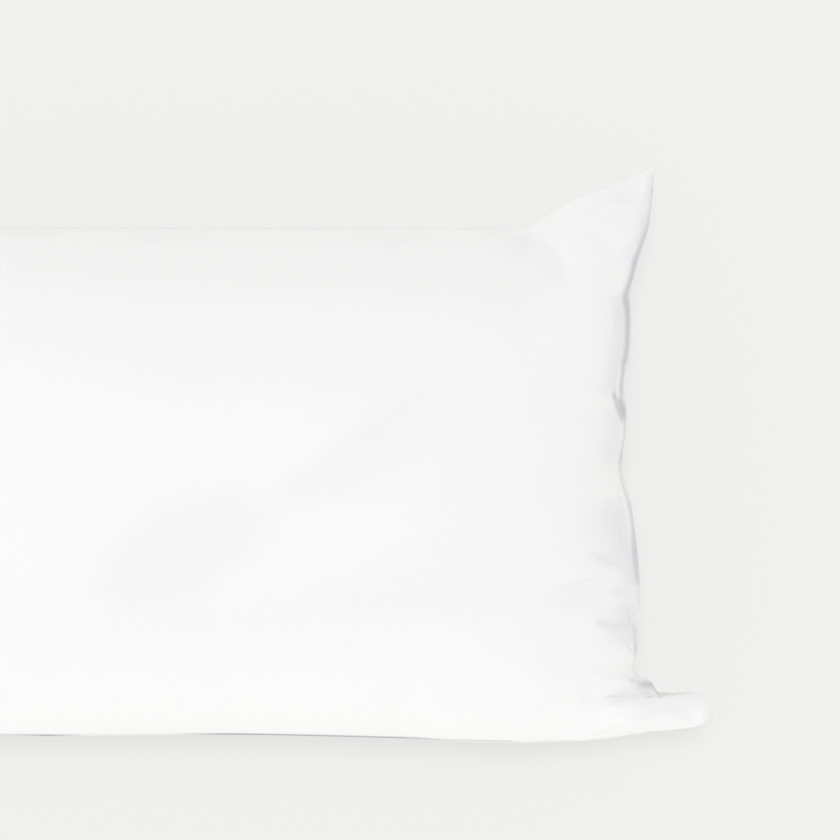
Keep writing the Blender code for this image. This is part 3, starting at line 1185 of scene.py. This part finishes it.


# Each fold: the corners of its line in metres from the middle of the body, then its left and right
# width, its depth, its fade and, where it has one, its painted shade.
FOLDS = (
    # The long dip across the front, and the shallow hollow that it runs out into, both greyed with
    # painted shade.
    Fold(
        (
            (0.2172, 0.1197), (0.1642, 0.0838), (0.1129, 0.0445),
            (0.0496, 0.0000), (-0.0137, -0.0256),
        ),
        0.0410, 0.0145, 0.0026, 0.48, 0.042,
    ),
    Fold(
        ((0.0752, 0.0103), (0.0068, -0.0308), (-0.0616, -0.0701), (-0.1898, -0.1351)),
        0.0718, 0.0684, 0.0030, 0.48, 0.044,
    ),
    Fold(
        (
            (-0.3095, -0.1111), (-0.1556, -0.1163), (0.0154, -0.1111),
            (0.1607, -0.0923), (0.2719, -0.0667),
        ),
        0.0547, 0.0530, 0.0006, 0.30, 0.026,
    ),
    # The shoulder along the upper side, where the front turns down towards the seam.
    Fold(
        (
            (-0.2582, 0.1727), (-0.2069, 0.1710), (-0.0017, 0.1607), (0.2377, 0.1488),
            (0.2847, 0.1573), (0.3061, 0.1881), (0.3146, 0.2103),
        ),
        0.0137, 0.0359, -0.0024, 0.12,
    ),
    # The shoulder beside the right end, from which the front turns down to the border.
    Fold(
        (
            (0.3061, 0.1830), (0.3112, 0.1471), (0.3095, 0.1129),
            (0.3061, 0.0701), (0.3027, 0.0274), (0.2924, -0.0154),
        ),
        0.0111, 0.0308, -0.0024, 0.25,
    ),
    # The root of the upper corner: the cloth is drawn up to a bright facet over a small hollow,
    # which is greyed with painted shade.
    Fold(
        ((0.2172, 0.2069), (0.2420, 0.2078), (0.2565, 0.2018), (0.2668, 0.1872), (0.2736, 0.1607)),
        0.0086, 0.0214, 0.0030, 0.33, 0.068,
    ),
    Fold(
        ((0.1949, 0.2120), (0.2249, 0.2129), (0.2497, 0.2095)),
        0.0043, 0.0051, 0.0006, 0.40, 0.03,
    ),
    Fold(((0.2770, 0.2137), (0.3061, 0.2291), (0.3369, 0.2497)), 0.0103, 0.0068, -0.0012, 0.40),
    Fold(
        ((0.2890, 0.2360), (0.3215, 0.2445), (0.3420, 0.2548), (0.3830, 0.2753)),
        0.0188, 0.0205, 0.0004, 0.25, 0.045,
    ),
    Fold(
        ((0.2651, 0.2018), (0.2941, 0.2189), (0.3249, 0.2291), (0.3574, 0.2343)),
        0.0188, 0.0188, 0.0003, 0.35, 0.024,
    ),
    # The uneven painted shade along the upper side, where the cloth rolls over to its seam.
    Fold(
        ((-0.2582, 0.2146), (-0.1984, 0.2137), (-0.1556, 0.2137), (-0.1214, 0.2155)),
        0.0043, 0.0068, 0.0003, 0.40, 0.034,
    ),
    Fold(
        ((-0.1129, 0.2137), (-0.0701, 0.2078), (-0.0171, 0.2120)),
        0.0060, 0.0077, 0.0004, 0.40, 0.03,
    ),
    Fold(
        ((0.0838, 0.2129), (0.1283, 0.2043), (0.1744, 0.2103)),
        0.0060, 0.0077, 0.0004, 0.40, 0.03,
    ),
    # The border of the right end: a narrow valley between the filled cloth and the pressed edge,
    # darkened with painted shade.
    Fold(
        (
            (0.3528, 0.2565), (0.3517, 0.2360), (0.3488, 0.2206),
            (0.3444, 0.2069), (0.3393, 0.1941), (0.3346, 0.1813),
        ),
        0.0021, 0.0043, 0.0008, 0.07, 0.44,
    ),
    Fold(
        (
            (0.3403, 0.1958), (0.3365, 0.1864), (0.3334, 0.1753), (0.3305, 0.1667),
            (0.3290, 0.1607), (0.3300, 0.1530), (0.3311, 0.1436),
        ),
        0.0029, 0.0051, 0.0010, 0.10, 0.48,
    ),
    Fold(
        ((0.3273, 0.1676), (0.3283, 0.1582), (0.3297, 0.1462)),
        0.0036, 0.0060, 0.0006, 0.35, 0.52,
    ),
    Fold(
        (
            (0.3293, 0.1590), (0.3305, 0.1428), (0.3304, 0.1300),
            (0.3299, 0.1171), (0.3287, 0.1060), (0.3263, 0.0949),
        ),
        0.0027, 0.0060, 0.0010, 0.12, 0.5,
    ),
    Fold(
        ((0.3280, 0.1060), (0.3254, 0.0889), (0.3246, 0.0804), (0.3254, 0.0684)),
        0.0026, 0.0041, 0.0010, 0.15, 0.44,
    ),
    Fold(
        ((0.3163, 0.0821), (0.3176, 0.0727), (0.3211, 0.0633), (0.3258, 0.0556), (0.3292, 0.0470)),
        0.0038, 0.0039, 0.0010, 0.22, 0.46,
    ),
    Fold(
        ((0.3206, 0.0769), (0.3236, 0.0675), (0.3270, 0.0590), (0.3292, 0.0496)),
        0.0060, 0.0051, 0.0004, 0.32, 0.54,
    ),
    Fold(
        (
            (0.3297, 0.0667), (0.3297, 0.0530), (0.3292, 0.0427),
            (0.3278, 0.0325), (0.3256, 0.0222), (0.3242, 0.0137),
        ),
        0.0022, 0.0036, 0.0010, 0.12, 0.46,
    ),
    Fold(
        ((0.3235, 0.0205), (0.3237, 0.0086), (0.3264, -0.0034), (0.3309, -0.0154)),
        0.0015, 0.0026, 0.0010, 0.15, 0.24,
    ),
    Fold(
        (
            (0.3283, -0.0068), (0.3336, -0.0222), (0.3357, -0.0359),
            (0.3367, -0.0513), (0.3382, -0.0727), (0.3406, -0.0958),
        ),
        0.0021, 0.0038, 0.0015, 0.16, 0.4,
    ),
    Fold(
        ((0.3377, -0.0855), (0.3394, -0.0992), (0.3389, -0.1146)),
        0.0026, 0.0043, 0.0006, 0.30, 0.16,
    ),
    Fold(
        ((0.3365, -0.1163), (0.3367, -0.1351), (0.3376, -0.1454), (0.3389, -0.1573)),
        0.0038, 0.0031, 0.0011, 0.20, 0.28,
    ),
    # The soft shade beside that border, where the cloth turns down to it.
    Fold(
        ((0.3505, 0.2548), (0.3488, 0.2343), (0.3437, 0.2155), (0.3369, 0.1984), (0.3300, 0.1813)),
        0.0043, 0.0103, 0.0014, 0.16, 0.09,
    ),
    Fold(
        (
            (0.3258, 0.1659), (0.3249, 0.1513), (0.3249, 0.1300), (0.3232, 0.1129),
            (0.3198, 0.0958), (0.3172, 0.0804), (0.3198, 0.0684),
        ),
        0.0043, 0.0171, 0.0010, 0.16, 0.15,
    ),
    Fold(
        ((0.3548, 0.2702), (0.3514, 0.2360), (0.3467, 0.2137), (0.3403, 0.1949)),
        0.0060, 0.0111, 0.0004, 0.16, 0.23,
    ),
    Fold(
        ((0.3198, 0.0701), (0.3215, 0.0496), (0.3198, 0.0274), (0.3163, 0.0051)),
        0.0077, 0.0256, 0.0010, 0.30, 0.1,
    ),
    Fold(
        ((0.3163, -0.0034), (0.3240, -0.0265), (0.3292, -0.0496), (0.3326, -0.0769)),
        0.0077, 0.0359, 0.0016, 0.30, 0.13,
    ),
    Fold(
        ((0.3309, -0.0445), (0.3352, -0.0616), (0.3369, -0.0787), (0.3373, -0.0992)),
        0.0068, 0.0188, 0.0008, 0.30, 0.16,
    ),
    Fold(
        ((0.3095, -0.0889), (0.3249, -0.0940), (0.3437, -0.0992)),
        0.0077, 0.0077, 0.0005, 0.34, 0.1,
    ),
    Fold(
        ((0.3334, -0.0940), (0.3334, -0.1129), (0.3343, -0.1300), (0.3352, -0.1454)),
        0.0086, 0.0291, 0.0008, 0.30, 0.14,
    ),
    # The tucks that run in from that border, sharp on one side and soft on the other, each with
    # painted shade.
    Fold(
        ((0.3181, -0.0222), (0.3219, -0.0393), (0.3292, -0.0650)),
        0.0014, 0.0021, 0.0008, 0.35, 0.19,
    ),
    Fold(
        ((0.3249, -0.0325), (0.3283, -0.0496), (0.3317, -0.0633)),
        0.0012, 0.0015, 0.0005, 0.35, 0.19,
    ),
    Fold(
        ((0.2907, -0.0573), (0.3061, -0.0641), (0.3189, -0.0693), (0.3352, -0.0752)),
        0.0086, 0.0026, 0.0015, 0.26, 0.12,
    ),
    Fold(
        ((0.3027, -0.0564), (0.3181, -0.0633), (0.3369, -0.0718)),
        0.0060, 0.0060, 0.0004, 0.30, 0.09,
    ),
    Fold(
        ((0.2556, -0.0940), (0.2719, -0.0872), (0.2933, -0.0821), (0.3121, -0.0812)),
        0.0043, 0.0022, 0.0009, 0.35, 0.06,
    ),
    Fold(
        ((0.2377, -0.1035), (0.2685, -0.0992), (0.2975, -0.0966), (0.3249, -0.0992)),
        0.0137, 0.0137, 0.0005, 0.40, 0.045,
    ),
    Fold(((0.3249, -0.0889), (0.3326, -0.0975)), 0.0051, 0.0051, 0.0010, 0.50, 0.1),
    Fold(((0.3266, -0.1017), (0.3317, -0.1060)), 0.0034, 0.0034, -0.0011, 0.50),
    Fold(
        (
            (0.2975, -0.1154), (0.3078, -0.1206), (0.3189, -0.1227),
            (0.3309, -0.1214), (0.3420, -0.1223),
        ),
        0.0077, 0.0022, 0.0016, 0.16, 0.17,
    ),
    Fold(
        ((0.3266, -0.1043), (0.3317, -0.1146), (0.3326, -0.1240)),
        0.0015, 0.0017, 0.0007, 0.35, 0.24,
    ),
    Fold(
        ((0.3232, -0.1300), (0.3292, -0.1377), (0.3360, -0.1496)),
        0.0015, 0.0022, 0.0007, 0.35, 0.18,
    ),
    Fold(((0.2668, -0.0453), (0.2727, -0.0599)), 0.0034, 0.0034, 0.0005, 0.50, 0.03),
    Fold(((0.3343, -0.1607), (0.3360, -0.1624)), 0.0014, 0.0014, -0.0009, 0.50),
    Fold(((0.3095, -0.1624), (0.3249, -0.1590), (0.3403, -0.1607)), 0.0077, 0.0060, -0.0013, 0.40),
    # The lower corner: the pocket under which the rolled cloth is tucked, and its root's creases,
    # darkened with painted shade.
    Fold(
        ((0.3317, -0.1727), (0.3429, -0.1761), (0.3531, -0.1804)),
        0.0043, 0.0051, 0.0016, 0.30, 0.11,
    ),
    Fold(
        (
            (0.3292, -0.1676), (0.3377, -0.1701), (0.3454, -0.1720),
            (0.3514, -0.1729), (0.3557, -0.1744),
        ),
        0.0014, 0.0021, 0.0012, 0.30, 0.46,
    ),
    Fold(
        ((0.3446, -0.1713), (0.3497, -0.1724), (0.3540, -0.1753), (0.3574, -0.1795)),
        0.0017, 0.0027, 0.0006, 0.30, 0.46,
    ),
    Fold(
        ((0.3505, -0.1736), (0.3553, -0.1787), (0.3591, -0.1843)),
        0.0015, 0.0022, 0.0007, 0.20, 0.4,
    ),
    Fold(((0.3334, -0.1676), (0.3403, -0.1693), (0.3480, -0.1706)), 0.0012, 0.0012, -0.0008, 0.40),
    Fold(
        ((0.3334, -0.2001), (0.3505, -0.1949), (0.3664, -0.1911), (0.3830, -0.1890)),
        0.0026, 0.0051, 0.0014, 0.35, 0.04,
    ),
    Fold(((0.3061, -0.1924), (0.3300, -0.1872), (0.3505, -0.1864)), 0.0043, 0.0034, -0.0014, 0.40),
    Fold(((0.2873, -0.1804), (0.2958, -0.1855)), 0.0051, 0.0051, 0.0008, 0.50, 0.05),
    Fold(((0.3172, -0.1813), (0.3215, -0.1890)), 0.0026, 0.0026, 0.0007, 0.50, 0.05),
)


def main() -> None:
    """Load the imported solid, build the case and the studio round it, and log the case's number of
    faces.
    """
    logging.basicConfig(level=logging.INFO, format="%(message)s")
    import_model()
    middle = Vector((*middle_of_body(), 0.0))
    form = CaseForm()
    case = FilledCase(form, SettledSlack(), PressedFoldsWithPaintedShade(FOLDS), CottonPercale()).build()
    log.info("filled case: %d faces", len(case.data.polygons))
    Studio(BackLitSweep()).build(form.seam_height, middle)
    log.info("studio: table, dome, table light and camera")


if __name__ == "__main__":
    main()
